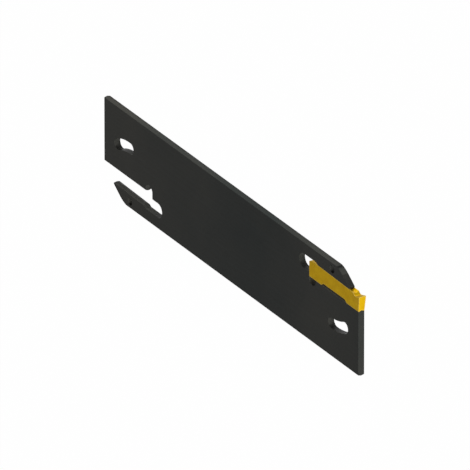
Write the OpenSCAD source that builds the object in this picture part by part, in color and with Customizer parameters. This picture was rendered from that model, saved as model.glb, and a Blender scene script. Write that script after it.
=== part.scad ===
// Double-ended parting blade with a gripped cutting insert in one of its two pockets.
// The blade lies flat: X runs along it, Y across its height and Z through its thickness.
// The origin is the centre of the blade's underside. Sizes are in millimetres and degrees.

/* [Blade] */
// Length of the blade
blade_length = 150; // [130:1:200]
// Height of the blade over the ridges of its long edges
blade_height = 32; // [30:0.5:45]
// Thickness of the blade
blade_thickness = 2.1; // [1.6:0.1:3.2]
// Slope of each face of the V-shaped long edges
edge_slope = 15; // [5:1:25]

/* [Spring finger] */
// Height of the finger beside the slot, over the ridge of the long edge
finger_height = 4; // [3.4:0.1:4.6]
// Distance of the finger's tip from the blade's end
finger_setback = 5.6; // [4:0.1:8]
// Radius of the finger's tip
tip_radius = 0.55; // [0.4:0.05:0.8]
// Slope of the finger's nose
nose_slope = 35; // [28:1:45]
// Radius between the nose and the long edge
nose_radius = 10.5; // [4:0.5:12]

/* [Pocket] */
// Distance of the insert's stop from the blade's end
stop_depth = 28.7; // [27:0.1:31]
// Opening from the seat to the jaw, where the jaw begins
pocket_opening = 5.8; // [5.4:0.1:6.2]
// Slope of each face of the V-shaped seat and jaw
seat_slope = 20; // [10:1:24]
// Distance of the jaw's rear corner from the blade's end
jaw_depth = 23.7; // [21:0.1:25]
// Drop from the slot's wall to the jaw
jaw_step = 0.55; // [0.4:0.05:0.9]
// Slope of the step behind the jaw
step_slope = 30; // [20:1:45]
// Slope of the jaw towards the blade's end
jaw_taper = 1.2; // [0.5:0.1:2]

/* [Slot and relief] */
// Distance of the slot's bottom from the blade's end
slot_depth = 34.5; // [33:0.1:38]
// Radius of the slot's round bottom, half of its width
slot_radius = 2.4; // [2.2:0.05:2.5]
// Radius of the edge between the stop and the slot
stop_radius = 0.3; // [0.1:0.05:0.4]
// Radius of the relief below the stop
relief_radius = 1.3; // [1:0.05:1.5]
// Depth of the relief's centre below the seat's side edges
relief_drop = 0.6; // [0.4:0.05:1]
// Distance of the seat's rear corner from the stop
heel_distance = 3.3; // [3:0.1:4]
// Slope of the heel behind the seat
heel_slope = 38; // [34:1:45]
// Radius of the heel's rounded corner
heel_radius = 2.5; // [1.5:0.1:3]

/* [Key holes] */
// Radius of the pin hole in the finger
pin_radius = 1.3; // [1:0.05:1.4]
// Distance of the pin hole from the blade's end
pin_setback = 15.3; // [14:0.1:17]
// Distance of the pin hole from the ridge of the long edge
pin_depth = 2.4; // [2.2:0.05:2.5]
// Radius of the key slot's centre line round the pin hole
key_arc_radius = 18.2; // [17:0.1:20]
// Width of the key slot
key_slot_width = 3.7; // [3:0.1:4.5]
// Direction of the key slot's inner end, seen from the pin hole
key_arc_start = -91; // [-96:1:-86]
// Turn of the key slot about the pin hole
key_arc_turn = 25; // [15:1:28]

/* [Insert] */
// Distance of the cutting edge past the blade's end
edge_overhang = 0.7; // [0.5:0.05:1.5]
// Drop of the cutting edge below the insert's top there
edge_drop = 0.05; // [0:0.01:0.3]
// Distance of the cutting edge's corners past the blade's faces
side_clearance = 0.2; // [0.1:0.05:0.4]
// Gap between the insert's body and the planes of the blade's faces
body_inset = 0.05; // [0.02:0.01:0.1]
// Clearance of the front flank below the cutting edge
front_relief = 7; // [5:1:10]
// Narrowing of the head behind the cutting edge
back_relief = 2.5; // [1.5:0.1:4]
// Narrowing of the head below the cutting edge
side_relief = 2; // [1:0.1:3]
// Rake behind the cutting edge
rake_angle = 15; // [8:1:20]
// Radius of the chip former behind the rake
former_radius = 1.5; // [1:0.1:2]
// Distance of the chip former's centre behind the cutting edge
former_setback = 2.5; // [2:0.1:3]
// Length of the front foot below the cutting edge's head
front_foot = 6.9; // [5:0.1:9]
// Length of the rear foot
rear_foot = 7.1; // [5:0.1:9]
// Depth of the relief between the feet
foot_relief = 0.85; // [0.6:0.05:1.2]
// Slope of the relief's ends
foot_slope = 35; // [25:1:60]
// Height of the insert's rear face
tail_height = 5.1; // [4:0.1:5.2]
// Slope of the insert's top at the rear
tail_slope = 26; // [20:1:40]

/* [Hidden] */
$fn = 96;

black_oxide = [0.18, 0.18, 0.18];
gold_coating = [0.78, 0.6, 0.12];

// Reach of a cut past the surface that it starts from
past = 1;
mid_plane = blade_thickness / 2;

// Places along the blade, for the end on the positive X side
end_x = blade_length / 2;
tip_x = end_x - finger_setback;
jaw_x = end_x - jaw_depth;
stop_x = end_x - stop_depth;
heel_x = stop_x + heel_distance;
slot_x = end_x - slot_depth + slot_radius;
edge_x = end_x + edge_overhang;

// Heights above the blade's centre line
ridge_y = blade_height / 2;
slot_top = ridge_y - finger_height;
slot_bottom = slot_top - 2 * slot_radius;
jaw_y = slot_top - jaw_step;
seat_y = jaw_y - pocket_opening;

// Rise of the seat and the jaw from the blade's faces to their ridge at mid-thickness
seat_rise = mid_plane * tan(seat_slope);
seat_ridge = seat_y + seat_rise;

// Width of the insert at the cutting edge and behind its head
edge_width = blade_thickness + 2 * side_clearance;
body_width = blade_thickness - 2 * body_inset;

// Height of the jaw's side edges at a place along the blade
function jaw_side(x) = jaw_y - (x - jaw_x) * tan(jaw_taper);

// Height of the jaw's ridge at a place along the blade
function jaw_ridge(x) = jaw_side(x) - seat_rise;

// Unit vector in a direction given as an angle
function along(angle) = [cos(angle), sin(angle)];

// Sharp corner of the jaw's ridge and the nose, which the tip's radius rounds off
tip_half_angle = (nose_slope - jaw_taper) / 2;
tip_bisector = tip_half_angle - nose_slope;
tip_reach = tip_radius / sin(tip_half_angle);
nose_corner_x = tip_x - tip_radius + tip_reach * cos(tip_bisector);
nose_corner = [nose_corner_x, jaw_ridge(nose_corner_x)];

// Point where the nose's slope would meet the long edge
nose_top = [nose_corner.x - (ridge_y - nose_corner.y) / tan(nose_slope), ridge_y];

// Where the key slot turns
pin_place = [end_x - pin_setback, ridge_y - pin_depth];

// Height of the cutting edge and place of the chip former behind it
edge_y = jaw_side(edge_x) - edge_drop;
former_x = edge_x - former_setback;

// What rounds a corner of the blade off, for edges that leave the corner at two angles.
// It reaches past both edges, into the space beside the blade.
module corner_bit(corner, first, second, radius) {
    half = (second - first) / 2;
    reach = radius / tan(half);
    centre = radius / sin(half) * along(first + half);
    apex = -past / sin(half) * along(first + half);
    start = reach * along(first);
    finish = reach * along(second);
    outside = [finish + past * along(second + 90), apex, start + past * along(first - 90)];
    translate(corner)
        difference() {
            polygon(concat([start, centre, finish], outside));
            translate(centre) circle(r = radius);
        }
}

// Bar along X whose lower or upper side is a V with its ridge on the X axis at mid-thickness.
// A positive limit takes what lies above the V, a negative limit what lies below it.
module vee_bar(slope, length, limit) {
    foot = -(mid_plane + past) * tan(slope);
    low_z = -past;
    high_z = blade_thickness + past;
    rotate([90, 0, 90])
        linear_extrude(length)
            polygon([[limit, low_z], [foot, low_z], [0, mid_plane], [foot, high_z], [limit, high_z]]);
}

// The V over the seat, from a place along the blade to past the cutting edge
module seat_vee(limit, start_x) {
    translate([start_x, seat_ridge, 0])
        vee_bar(seat_slope, edge_x + past - start_x, limit);
}

// The V under the jaw, along the jaw's taper between two places along the blade
module jaw_vee(limit, start_x, finish_x) {
    translate([start_x, jaw_ridge(start_x), 0])
        rotate([0, 0, -jaw_taper])
            mirror([0, 1, 0])
                vee_bar(seat_slope, finish_x - start_x, limit);
}

// Space between the seat and the jaw, open at the blade's end and before the finger
module mouth() {
    far_x = end_x + past;
    high_y = ridge_y + past;
    far_jaw = [far_x, jaw_ridge(far_x)];
    polygon([[stop_x, seat_ridge], [far_x, seat_ridge], far_jaw, [stop_x, jaw_ridge(stop_x)]]);
    polygon([nose_corner, far_jaw - [0, past], [far_x, high_y], [nose_top.x, high_y], nose_top]);
    corner_bit(nose_corner, 180 - nose_slope, 180 - jaw_taper, tip_radius);
    corner_bit(nose_top, 180, 360 - nose_slope, nose_radius);
}

// Slot that frees the finger, with its round bottom and the sloped step up to the jaw
module slot() {
    step_x = jaw_x + seat_rise / tan(step_slope);
    step_top_x = jaw_x - jaw_step / tan(step_slope);
    step = [[step_x, jaw_ridge(jaw_x)], [step_top_x, slot_top]];
    translate([slot_x, slot_top - slot_radius]) circle(r = slot_radius);
    polygon(concat([[slot_x, slot_bottom], [step_x, slot_bottom]], step, [[slot_x, slot_top]]));
    corner_bit([stop_x, slot_bottom], 180, 270, stop_radius);
}

// Relief below the stop, between its round rear wall and the rounded heel of the seat
module relief() {
    relief_y = seat_y - relief_drop;
    low_y = relief_y - relief_radius;
    high_y = seat_ridge + past;
    heel_low = [heel_x - (seat_y - low_y) / tan(heel_slope), low_y];
    heel_corner = [heel_x + seat_rise / tan(heel_slope), seat_ridge];
    heel_reach = heel_radius * tan(heel_slope / 2);
    heel_centre = heel_corner + [heel_reach, -heel_radius];
    heel = [heel_low, heel_corner + heel_reach * along(180 + heel_slope), heel_centre];
    intersection() {
        difference() {
            polygon(concat([[stop_x, low_y]], heel, [[heel_centre.x, high_y], [stop_x, high_y]]));
            translate(heel_centre) circle(r = heel_radius);
        }
        union() {
            translate([stop_x + relief_radius, relief_y]) circle(r = relief_radius);
            translate([stop_x, relief_y]) square([heel_centre.x - stop_x, high_y - relief_y]);
        }
    }
}

// Arc-shaped slot round the pin hole, with round ends
module key_slot() {
    inner = key_arc_radius - key_slot_width / 2;
    outer = key_arc_radius + key_slot_width / 2;
    directions = [key_arc_start, key_arc_start + key_arc_turn];
    sector = [for (angle = directions) 2 * outer * along(angle)];
    translate(pin_place) {
        intersection() {
            difference() {
                circle(r = outer);
                circle(r = inner);
            }
            polygon(concat([[0, 0]], sector));
        }
        for (angle = directions)
            translate(key_arc_radius * along(angle)) circle(d = key_slot_width);
    }
}

// Everything cut through the blade at one end
module end_cut() {
    mouth();
    slot();
    relief();
    key_slot();
    translate(pin_place) circle(r = pin_radius);
}

// The blade: a strip with V-shaped long edges and the same cut at both ends, half a turn apart
module blade() {
    color(black_oxide)
        difference() {
            linear_extrude(blade_thickness)
                difference() {
                    square([blade_length, blade_height], center = true);
                    for (turn = [0, 180]) rotate(turn) end_cut();
                }
            for (turn = [0, 180]) rotate([0, 0, turn]) {
                translate([-end_x - past, ridge_y, 0]) vee_bar(edge_slope, blade_length + 2 * past, past);
                seat_vee(seat_rise, stop_x);
                jaw_vee(seat_rise, slot_x, end_x);
            }
        }
}

// Side view of the insert, before its V grooves
module insert_side() {
    low_y = seat_y - past;
    high_y = jaw_side(stop_x) + past;
    flank_low_x = edge_x - (edge_y - low_y) * tan(front_relief);
    flank_high_x = edge_x + (high_y - edge_y) * tan(front_relief);
    tail_y = seat_y + tail_height;
    tail_top_x = stop_x + (high_y - tail_y) / tan(tail_slope);
    flank = [[flank_low_x, low_y], [flank_high_x, high_y]];
    tail = [[tail_top_x, high_y], [stop_x, tail_y]];
    difference() {
        polygon(concat([[stop_x, low_y]], flank, tail));
        chip_former();
        foot_gap();
    }
}

// Space above the rake and the round chip former behind it
module chip_former() {
    high_y = jaw_side(stop_x) + 2 * past;
    former_y = edge_y - former_setback * tan(rake_angle) + former_radius / cos(rake_angle);
    rake_start = [former_x, former_y] + former_radius * along(rake_angle - 90);
    rake_end = rake_start + (former_setback + past) * [1, tan(rake_angle)];
    translate([former_x, former_y]) circle(r = former_radius);
    polygon([rake_start, rake_end, [rake_end.x, high_y], [former_x, high_y], [former_x, former_y]]);
}

// Gap between the front and the rear foot
module foot_gap() {
    low_y = seat_y - 2 * past;
    floor_y = seat_y + foot_relief;
    run = (floor_y - low_y) / tan(foot_slope);
    rear_x = stop_x + rear_foot - (seat_y - low_y) / tan(foot_slope);
    front_x = end_x - front_foot + (seat_y - low_y) / tan(foot_slope);
    polygon([[rear_x, low_y], [front_x, low_y], [front_x - run, floor_y], [rear_x + run, floor_y]]);
}

// What the side of the head is cleared by, on the upper side of the blade
module head_relief() {
    reach = stop_depth + edge_overhang;
    translate([edge_x, edge_y, mid_plane + edge_width / 2])
        rotate([side_relief, -back_relief, 0])
            translate([-reach, -reach, 0])
                cube([2 * reach, 2 * reach, reach]);
}

// Head of the insert before the finger's tip, widest at the cutting edge
module insert_head() {
    difference() {
        translate([0, 0, mid_plane - edge_width / 2])
            linear_extrude(edge_width)
                intersection() {
                    insert_side();
                    translate([tip_x, seat_y - past])
                        square([finger_setback + edge_overhang + past, ridge_y]);
                }
        head_relief();
        translate([0, 0, mid_plane]) mirror([0, 0, 1]) translate([0, 0, -mid_plane]) head_relief();
    }
}

// The insert, with V grooves that seat on the ridges of the seat and the jaw
module insert() {
    color(gold_coating)
        difference() {
            union() {
                translate([0, 0, body_inset]) linear_extrude(body_width) insert_side();
                insert_head();
            }
            seat_vee(-pocket_opening / 2, stop_x - past);
            jaw_vee(-pocket_opening / 2, stop_x - past, former_x);
        }
}

blade();
insert();
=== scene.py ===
"""Looks of a double-ended parting blade: black-oxide steel, a gold-coated insert, soft studio light."""
from math import cos, radians, sin

import bmesh
import bpy
from mathutils import Matrix, Vector


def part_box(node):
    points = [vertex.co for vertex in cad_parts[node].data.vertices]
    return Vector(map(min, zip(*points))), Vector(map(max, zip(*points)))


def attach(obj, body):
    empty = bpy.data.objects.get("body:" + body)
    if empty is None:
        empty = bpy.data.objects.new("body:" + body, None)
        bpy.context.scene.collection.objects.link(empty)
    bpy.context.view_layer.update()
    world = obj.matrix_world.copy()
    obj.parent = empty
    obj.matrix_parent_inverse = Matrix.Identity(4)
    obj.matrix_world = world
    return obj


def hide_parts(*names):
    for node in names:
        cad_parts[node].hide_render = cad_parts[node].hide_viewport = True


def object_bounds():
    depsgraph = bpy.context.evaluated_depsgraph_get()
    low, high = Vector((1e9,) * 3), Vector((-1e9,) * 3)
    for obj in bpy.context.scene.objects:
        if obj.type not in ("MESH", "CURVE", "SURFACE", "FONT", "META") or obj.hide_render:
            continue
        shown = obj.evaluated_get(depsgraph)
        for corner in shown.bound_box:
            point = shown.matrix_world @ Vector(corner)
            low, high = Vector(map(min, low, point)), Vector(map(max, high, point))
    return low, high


MILLIMETRE = 0.001

# The photograph's view, in which the blade stands on its long edge: turned from the normal of the blade's
# face towards the insert's end, and raised above the horizon
VIEW_TURN = radians(58.95)
VIEW_RISE = radians(26.1)

# Size of the photograph in pixels, its scale in pixels for each metre, and the pixel at the blade's centre
PHOTO_SIZE = 470
PHOTO_SCALE = 3283
CENTRE_PIXEL = Vector((233.1, 234.4))

# Lens and sensor in millimetres: a long lens, because the photograph's parallel edges stay parallel. The
# camera sees so many times its own distance from the blade
LENS = 1500
SENSOR = 36
SIGHT = 4

# Radius that breaks the sharp edges of each piece, and how sharp an edge has to be for it
BLADE_EDGE = 0.03 * MILLIMETRE
INSERT_EDGE = 0.025 * MILLIMETRE
EDGE_SEGMENTS = 3
SHARP_ANGLE = radians(20)
# Faces at a smaller angle than this become one flat face, and points closer than this become one point
FLAT_ANGLE = radians(0.5)
WELD_DISTANCE = 0.0001 * MILLIMETRE

# Round relief behind each pocket's seat, wider than in the frame, and its centre at the insert's end
RELIEF_RADIUS = 1.95 * MILLIMETRE
RELIEF_CENTRE = Vector((48.3, 5.2, 0)) * MILLIMETRE
RELIEF_SEGMENTS = 96

# Values that a noise mostly stays between
NOISE_RANGE = (0.3, 0.7)
# Cosine of the surface's turn within the reach of wear, at which wear is full and at which it begins
WEAR_COSINES = (0.85, 0.99)
# Rays with which a material feels the surface around a point
PROBE_SAMPLES = 8

# Noises of the blade's oxide, in waves for each millimetre along X, Y and Z. At the bands' place, the end
# with the empty pocket is the lighter one
BAND_WAVES = (0.015, 0, 0)
BAND_PLACE = (301.4, 0, 0)
CLOUD_WAVES = (0.06, 0.06, 0.06)
STREAK_WAVES = (0.03, 0.9, 0.9)
FLECK_WAVES = (1.5, 1.5, 1.5)
MARK_WAVES = (0.25, 9, 9)
# Share of the streaks beside the clouds, of the flecks beside these two, and of all three beside the bands
STREAK_SHARE = 0.4
FLECK_SHARE = 0.3
TEXTURE_SHARE = 0.4
# Dark and light oxide on the ground faces, each with the tone at which it holds
OXIDE_SHADES = ((0.38, (0.0115, 0.0138, 0.0133)), (0.62, (0.0263, 0.0255, 0.0222)))
OXIDE_INDEX = 1.45
OXIDE_SHINE = 0.16
OXIDE_ROUGHNESS = (0.52, 0.64)
MARK_STRENGTH = 0.25
MARK_HEIGHT = 0.004 * MILLIMETRE

# A wall counts as cut up to the first share of Z in its normal, and as a ground face from the second. Cut
# walls are rougher than ground faces and lighter, partly as a lighter cut oxide and partly as painted
# light on the side faces; worn edges are lighter
CUT_FACING = (0.6, 0.9)
CUT_OXIDE_AND_PAINTED_LIGHT = 2.25
CUT_ROUGHNESS = 0.3
WEAR_LIFT = 0.5
BLADE_WEAR = 0.15 * MILLIMETRE

# A cut wall counts as a recess by how open it lies within the reach: wholly at the first openness, not at
# all at the second. Such walls are smoother, and carry painted light where they face along the blade and
# painted shade where they face across it. One painted tone holds up to the first share of Y in the normal,
# the other from the second share
RECESS_REACH = 6 * MILLIMETRE
RECESS_OPENNESS = (0.8, 0.97)
RECESS_POLISH = 0.45
ALONG_PAINTED_LIGHT = 1.15
ACROSS_PAINTED_SHADE = 0.1
ACROSS_FACING = (0.45, 0.85)
# Painted light and shade along the curved nose of each finger, by the product of its normal's X and Y
NOSE_PAINTED_LIGHT_AND_SHADE = ((0.05, 1), (0.1, 0.22), (0.28, 0.28), (0.35, 1.12), (0.456, 1.12), (0.468, 0.62))

# The insert's coating: its noises, its colours with the tone at which each holds, its tint at low angles,
# and the pale colour along its edges, partly wear and partly a painted highlight
GOLD_CLOUD_WAVES = (0.35, 0.35, 0.35)
GOLD_GRAIN_WAVES = (7, 7, 7)
GOLD_SHADES = ((0.3, (0.74, 0.44, 0.004)), (0.7, (0.86, 0.54, 0.008)))
GOLD_TINT = (1, 0.96, 0.73, 1)
WORN_AND_HIGHLIGHT_GOLD = (0.9, 0.74, 0.3, 1)
WEAR_AND_HIGHLIGHT_SHARE = 0.5
INSERT_WEAR_AND_HIGHLIGHT = 0.4 * MILLIMETRE
GOLD_ROUGHNESS = (0.33, 0.45)
GRAIN_STRENGTH = 0.3
GRAIN_HEIGHT = 0.006 * MILLIMETRE
# The pressed chip former, rougher than the rest and darker by painted shade: faces that turn up along Y
# and tilt along X, in part from the first share of the normal and wholly from the second
FORMER_RISE = (0.15, 0.45)
FORMER_TILT = (0.08, 0.25)
FORMER_PAINTED_SHADE = 0.62
FORMER_ROUGHNESS = 0.12

# Light: an even sky and soft boxes, each with its direction from the blade, its share, width and height
SKY_COLOUR = (1, 1, 1, 1)
SKY_STRENGTH = 0.35
SOFT_BOX_DISTANCE = 1.0
SOFT_BOXES = {
    "key_light": (Vector((-0.4, 0.66, 0.64)), 1.05, 2.2, 1.6),
    "end_light": (Vector((0.9, -0.25, 0.36)), 0.47, 1.4, 0.8),
    "fill_light": (Vector((0.1, -0.9, 0.42)), 0.1, 1.2, 0.7),
}
# Power at which a small lamp a metre away lights a facing surface as a sky of strength 1 does
UNIT_POWER = 9.87

FLOOR_RADIUS = 4.0
FLOOR_SEGMENTS = 64
FLOOR_COLOUR = (0.5, 0.5, 0.5, 1)
# Share of the floor's own white that shows to the camera, so that the shadow on it stays faint
FLOOR_WHITE = 0.99

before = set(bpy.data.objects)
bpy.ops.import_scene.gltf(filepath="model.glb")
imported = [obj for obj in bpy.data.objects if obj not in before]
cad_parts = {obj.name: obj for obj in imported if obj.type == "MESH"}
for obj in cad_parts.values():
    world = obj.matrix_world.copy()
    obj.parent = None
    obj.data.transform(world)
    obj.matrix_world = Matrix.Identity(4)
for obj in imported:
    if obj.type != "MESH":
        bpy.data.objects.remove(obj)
cad_low, cad_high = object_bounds()


def add_node(tree, kind, sockets=None, **settings):
    """Adds a node with its settings, and gives each socket a value or a link from another node."""
    node = tree.nodes.new(kind)
    for name, value in settings.items():
        setattr(node, name, value)
    for name, value in (sockets or {}).items():
        if isinstance(value, bpy.types.NodeSocket):
            tree.links.new(value, node.inputs[name])
        else:
            node.inputs[name].default_value = value
    return node


def new_material(name, **values):
    """A material, its nodes and its shader, with constant values set on the shader's own sockets."""
    material = bpy.data.materials.new(name)
    material.use_nodes = True
    shader = material.node_tree.nodes["Principled BSDF"]
    for socket, value in values.items():
        shader.inputs[socket.replace("_", " ")].default_value = value
    return material, material.node_tree, shader


def noise(tree, per_millimetre, detail, roughness=0.5, place=(0, 0, 0)):
    """Noise in the part's own frame, with its number of waves in each millimetre along X, Y and Z."""
    point = add_node(tree, "ShaderNodeTexCoord").outputs["Object"]
    scale = [waves / MILLIMETRE for waves in per_millimetre]
    sockets = {"Vector": point, "Scale": scale, "Location": place}
    point = add_node(tree, "ShaderNodeMapping", sockets).outputs["Vector"]
    sockets = {"Vector": point, "Scale": 1.0, "Detail": detail, "Roughness": roughness}
    return add_node(tree, "ShaderNodeTexNoise", sockets).outputs["Fac"]


def blend_values(tree, first, second, share):
    """Mean of two values, with a share of the second."""
    sockets = {"Factor": share, "A": first, "B": second}
    return add_node(tree, "ShaderNodeMix", sockets).outputs["Result"]


def spread(tree, value, low, high, source=NOISE_RANGE):
    """Maps a range of a value, that of a noise if no other is given, to the range from low to high."""
    start, end = source
    sockets = {"Value": value, "From Min": start, "From Max": end, "To Min": low, "To Max": high}
    return add_node(tree, "ShaderNodeMapRange", sockets).outputs["Result"]


def combine(tree, operation, *values):
    """Result of a math operation on numbers and outputs."""
    return add_node(tree, "ShaderNodeMath", dict(enumerate(values)), operation=operation).outputs["Value"]


def facing(tree, axis):
    """How far the surface faces along an axis of the part, from -1 to 1."""
    normal = add_node(tree, "ShaderNodeTexCoord").outputs["Normal"]
    return add_node(tree, "ShaderNodeSeparateXYZ", {"Vector": normal}).outputs[axis]


def edge_wear(tree, reach):
    """Wear beside sharp edges: 1 where the surface turns within the reach, 0 where it stays flat."""
    sockets = {"Radius": reach}
    rounded = add_node(tree, "ShaderNodeBevel", sockets, samples=PROBE_SAMPLES).outputs["Normal"]
    plain = add_node(tree, "ShaderNodeNewGeometry").outputs["Normal"]
    sockets = {0: rounded, 1: plain}
    turn = add_node(tree, "ShaderNodeVectorMath", sockets, operation="DOT_PRODUCT").outputs["Value"]
    return spread(tree, turn, 1, 0, WEAR_COSINES)


def openness(tree, reach):
    """How open the surface lies: 1 on a free face, less in a recess of its own piece within the reach."""
    settings = {"samples": PROBE_SAMPLES, "only_local": True}
    return add_node(tree, "ShaderNodeAmbientOcclusion", {"Distance": reach}, **settings).outputs["AO"]


def scaled(tree, colour, factor):
    """A colour made lighter or darker by a factor."""
    sockets = {0: colour, "Scale": factor}
    return add_node(tree, "ShaderNodeVectorMath", sockets, operation="SCALE").outputs["Vector"]


def blend_colours(tree, first, second, share):
    """Mix of two colours, with a share of the second."""
    sockets = {"Fac": share, "Color1": first, "Color2": second}
    return add_node(tree, "ShaderNodeMixRGB", sockets).outputs["Color"]


def shades(tree, value, stops):
    """Maps a value to colours at the given stops."""
    ramp = add_node(tree, "ShaderNodeValToRGB", {"Fac": value})
    elements = ramp.color_ramp.elements
    for position, _ in stops[1:-1]:
        elements.new(position)
    for element, (position, colour) in zip(elements, stops):
        element.position = position
        element.color = (*colour, 1)
    return ramp.outputs["Color"]


def add_bump(tree, shader, heights, strength, height):
    """Gives a surface fine heights."""
    bump = add_node(tree, "ShaderNodeBump", {"Height": heights, "Strength": strength, "Distance": height})
    tree.links.new(bump.outputs["Normal"], shader.inputs["Normal"])


def recess_walls(tree, cut):
    """Where cut walls count as walls of a recess, from 0 to 1."""
    enclosed = spread(tree, openness(tree, RECESS_REACH), 1, 0, RECESS_OPENNESS)
    return combine(tree, "MULTIPLY", cut, enclosed)


def recess_painted_light_and_shade(tree, recess):
    """Factor of painted light and shade in the recesses, by the direction of their walls."""
    across = combine(tree, "ABSOLUTE", facing(tree, "Y"))
    change = spread(tree, across, ALONG_PAINTED_LIGHT - 1, ACROSS_PAINTED_SHADE - 1, ACROSS_FACING)
    return combine(tree, "MULTIPLY_ADD", recess, change, 1)


def nose_painted_light_and_shade(tree, recess):
    """Factor of painted light and shade on the curved noses, which are outside the recesses."""
    curve = combine(tree, "MULTIPLY", facing(tree, "X"), facing(tree, "Y"))
    painted_tone = shades(tree, curve, [(place, (share, share, share)) for place, share in NOSE_PAINTED_LIGHT_AND_SHADE])
    return blend_values(tree, painted_tone, 1, recess)


def black_oxide():
    """Ground steel under a black oxide: bands and clouds of tone, grinding marks, lighter cut walls that
    are partly painted light, and painted light and shade in the recesses and on the noses.
    """
    material, tree, shader = new_material("black_oxide", Metallic=0.0, IOR=OXIDE_INDEX,
                                          Specular_IOR_Level=OXIDE_SHINE)
    bands = noise(tree, BAND_WAVES, detail=0, place=BAND_PLACE)
    clouds = noise(tree, CLOUD_WAVES, detail=5, roughness=0.6)
    streaks = noise(tree, STREAK_WAVES, detail=3)
    flecks = noise(tree, FLECK_WAVES, detail=2)
    marks = noise(tree, MARK_WAVES, detail=3)
    texture = blend_values(tree, clouds, streaks, STREAK_SHARE)
    texture = blend_values(tree, texture, flecks, FLECK_SHARE)
    ground = shades(tree, blend_values(tree, bands, texture, TEXTURE_SHARE), OXIDE_SHADES)
    cut = spread(tree, combine(tree, "ABSOLUTE", facing(tree, "Z")), 1, 0, CUT_FACING)
    worn = combine(tree, "MULTIPLY", edge_wear(tree, BLADE_WEAR), spread(tree, clouds, 0, WEAR_LIFT))
    # Cut walls lighter: partly their own oxide, partly painted light on the side faces
    tone_and_painted_light = combine(tree, "ADD", combine(tree, "MULTIPLY_ADD", cut, CUT_OXIDE_AND_PAINTED_LIGHT, worn), 1)
    recess = recess_walls(tree, cut)
    # Painted light and shade on the walls of the recesses
    tone_and_painted_light = combine(tree, "MULTIPLY", tone_and_painted_light, recess_painted_light_and_shade(tree, recess))
    # Painted light and shade on the curved noses
    tone_and_painted_light = combine(tree, "MULTIPLY", tone_and_painted_light, nose_painted_light_and_shade(tree, recess))
    tree.links.new(scaled(tree, ground, tone_and_painted_light), shader.inputs["Base Color"])
    rough = combine(tree, "MULTIPLY_ADD", cut, CUT_ROUGHNESS, spread(tree, streaks, *OXIDE_ROUGHNESS))
    rough = combine(tree, "SUBTRACT", rough, combine(tree, "MULTIPLY", recess, RECESS_POLISH))
    tree.links.new(rough, shader.inputs["Roughness"])
    add_bump(tree, shader, marks, MARK_STRENGTH, MARK_HEIGHT)
    return material


def gold_coating():
    """Gold-coloured hard coating on carbide: clouds and grain, a rougher chip former with painted shade,
    pale edges that are partly wear and partly a painted highlight.
    """
    material, tree, shader = new_material("gold_coating", Metallic=1.0, Specular_Tint=GOLD_TINT)
    clouds = noise(tree, GOLD_CLOUD_WAVES, detail=3)
    grain = noise(tree, GOLD_GRAIN_WAVES, detail=4)
    coat = shades(tree, clouds, GOLD_SHADES)
    rise = spread(tree, facing(tree, "Y"), 0, 1, FORMER_RISE)
    tilt = spread(tree, combine(tree, "ABSOLUTE", facing(tree, "X")), 0, 1, FORMER_TILT)
    former = combine(tree, "MULTIPLY", rise, tilt)
    # Painted shade: faces of the chip former that turn up are darker
    coat = scaled(tree, coat, spread(tree, former, 1, FORMER_PAINTED_SHADE, (0, 1)))
    # Pale edges: partly wear, partly a painted highlight
    worn = combine(tree, "MULTIPLY", edge_wear(tree, INSERT_WEAR_AND_HIGHLIGHT), WEAR_AND_HIGHLIGHT_SHARE)
    tree.links.new(blend_colours(tree, coat, WORN_AND_HIGHLIGHT_GOLD, worn), shader.inputs["Base Color"])
    rough = combine(tree, "MULTIPLY_ADD", former, FORMER_ROUGHNESS, spread(tree, grain, *GOLD_ROUGHNESS))
    tree.links.new(rough, shader.inputs["Roughness"])
    add_bump(tree, shader, grain, GRAIN_STRENGTH, GRAIN_HEIGHT)
    return material


def new_object(name, shape):
    """An object in the scene with a shape as its mesh."""
    mesh = bpy.data.meshes.new(name)
    shape.to_mesh(mesh)
    shape.free()
    thing = bpy.data.objects.new(name, mesh)
    bpy.context.scene.collection.objects.link(thing)
    return thing


def plain_shape(mesh):
    """The shape of a mesh, welded and with each flat face in one piece."""
    shape = bmesh.new()
    shape.from_mesh(mesh)
    bmesh.ops.remove_doubles(shape, verts=shape.verts, dist=WELD_DISTANCE)
    bmesh.ops.dissolve_limit(shape, angle_limit=FLAT_ANGLE, verts=shape.verts, edges=shape.edges)
    return shape


def relieved(mesh):
    """The blade's mesh with the round relief cut behind the seat of each end."""
    low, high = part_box("blade")
    cutters = bmesh.new()
    for end in (1, -1):
        centre = end * RELIEF_CENTRE
        centre.z = (low.z + high.z) / 2
        bmesh.ops.create_cone(cutters, cap_ends=True, segments=RELIEF_SEGMENTS, radius1=RELIEF_RADIUS,
                              radius2=RELIEF_RADIUS, depth=2 * (high.z - low.z),
                              matrix=Matrix.Translation(centre))
    cutter = new_object("cutter", cutters)
    block = new_object("block", plain_shape(mesh))
    cut = block.modifiers.new("Relief", "BOOLEAN")
    cut.operation = "DIFFERENCE"
    cut.solver = "EXACT"
    cut.object = cutter
    graph = bpy.context.evaluated_depsgraph_get()
    result = bpy.data.meshes.new_from_object(block.evaluated_get(graph))
    for helper in (block, cutter):
        bpy.data.objects.remove(helper)
    return result


def finished_piece(node, mesh, edge, material):
    """Makes the piece that stands for a CAD node: a mesh with its sharp edges broken by a radius."""
    shape = plain_shape(mesh)
    corners = [e for e in shape.edges if e.calc_face_angle() > SHARP_ANGLE]
    bmesh.ops.bevel(shape, geom=corners, offset=edge, offset_type="OFFSET", affect="EDGES",
                    segments=EDGE_SEGMENTS, profile=0.5)
    for face in shape.faces:
        face.smooth = True
    piece = new_object(node + "_finished", shape)
    piece.data.materials.append(material)
    normals = piece.modifiers.new("Flat faces", "WEIGHTED_NORMAL")
    normals.keep_sharp = True
    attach(piece, "root")
    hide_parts(node)


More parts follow.
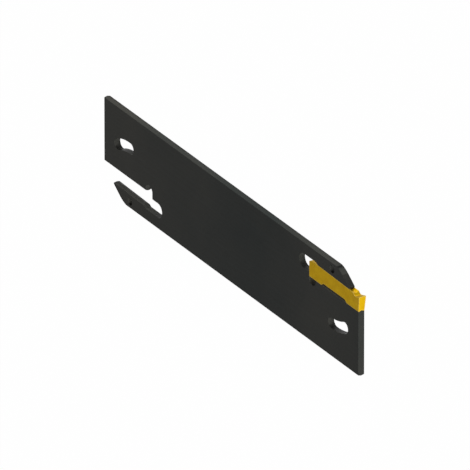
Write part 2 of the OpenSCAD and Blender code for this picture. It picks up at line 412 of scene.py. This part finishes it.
def floor():
    """A round pale floor under the blade."""
    shape = bmesh.new()
    bmesh.ops.create_circle(shape, cap_ends=True, radius=FLOOR_RADIUS, segments=FLOOR_SEGMENTS)
    plane = new_object("floor", shape)
    plane.location.z = cad_low.z
    plane.data.materials.append(floor_material())


def floor_material():
    """Pale matt floor, mostly its own plain white where it is seen directly or in a reflection."""
    material, tree, shader = new_material("floor", Base_Color=FLOOR_COLOUR, Roughness=1.0,
                                          Specular_IOR_Level=0.0)
    rays = add_node(tree, "ShaderNodeLightPath").outputs
    seen = rays["Is Camera Ray"]
    for ray in ("Is Glossy Ray", "Is Transmission Ray"):
        seen = combine(tree, "MAXIMUM", seen, rays[ray])
    share = combine(tree, "MULTIPLY", seen, FLOOR_WHITE)
    white = add_node(tree, "ShaderNodeEmission").outputs["Emission"]
    mix = add_node(tree, "ShaderNodeMixShader", {0: share, 1: shader.outputs["BSDF"], 2: white})
    tree.links.new(mix.outputs["Shader"], tree.nodes["Material Output"].inputs["Surface"])
    return material


def lighting():
    """An even sky and soft boxes that face the middle of the blade."""
    world = bpy.data.worlds.new("studio")
    world.use_nodes = True
    sky = world.node_tree.nodes["Background"]
    sky.inputs["Color"].default_value = SKY_COLOUR
    sky.inputs["Strength"].default_value = SKY_STRENGTH
    bpy.context.scene.world = world
    for name, (direction, share, width, height) in SOFT_BOXES.items():
        lamp = bpy.data.lights.new(name, "AREA")
        lamp.energy = share * UNIT_POWER * SOFT_BOX_DISTANCE ** 2
        lamp.shape = "RECTANGLE"
        lamp.size = width
        lamp.size_y = height
        box = bpy.data.objects.new(name, lamp)
        box.location = direction.normalized() * SOFT_BOX_DISTANCE
        box.rotation_euler = direction.to_track_quat("Z", "Y").to_euler()
        bpy.context.scene.collection.objects.link(box)


def camera():
    """The photograph's camera, rolled so that the blade stands on its long edge in the picture."""
    back = Vector((sin(VIEW_TURN) * cos(VIEW_RISE), sin(VIEW_RISE), cos(VIEW_TURN) * cos(VIEW_RISE)))
    right = Vector((cos(VIEW_TURN), 0, -sin(VIEW_TURN)))
    up = back.cross(right)
    low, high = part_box("blade")
    offset = Vector((PHOTO_SIZE / 2, PHOTO_SIZE / 2)) - CENTRE_PIXEL
    aim = (low + high) / 2 + (right * offset.x - up * offset.y) / PHOTO_SCALE
    distance = LENS / SENSOR * PHOTO_SIZE / PHOTO_SCALE
    lens = bpy.data.cameras.new("camera")
    lens.lens = LENS
    lens.sensor_width = SENSOR
    lens.clip_end = SIGHT * distance
    viewer = bpy.data.objects.new("camera", lens)
    turned = Matrix((right, up, back)).transposed().to_4x4()
    viewer.matrix_world = Matrix.Translation(aim + back * distance) @ turned
    bpy.context.scene.collection.objects.link(viewer)
    bpy.context.scene.camera = viewer


camera()
finished_piece("blade", relieved(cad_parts["blade"].data), BLADE_EDGE, black_oxide())
finished_piece("insert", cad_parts["insert"].data, INSERT_EDGE, gold_coating())
floor()
lighting()
bpy.context.scene.view_settings.view_transform = "Standard"
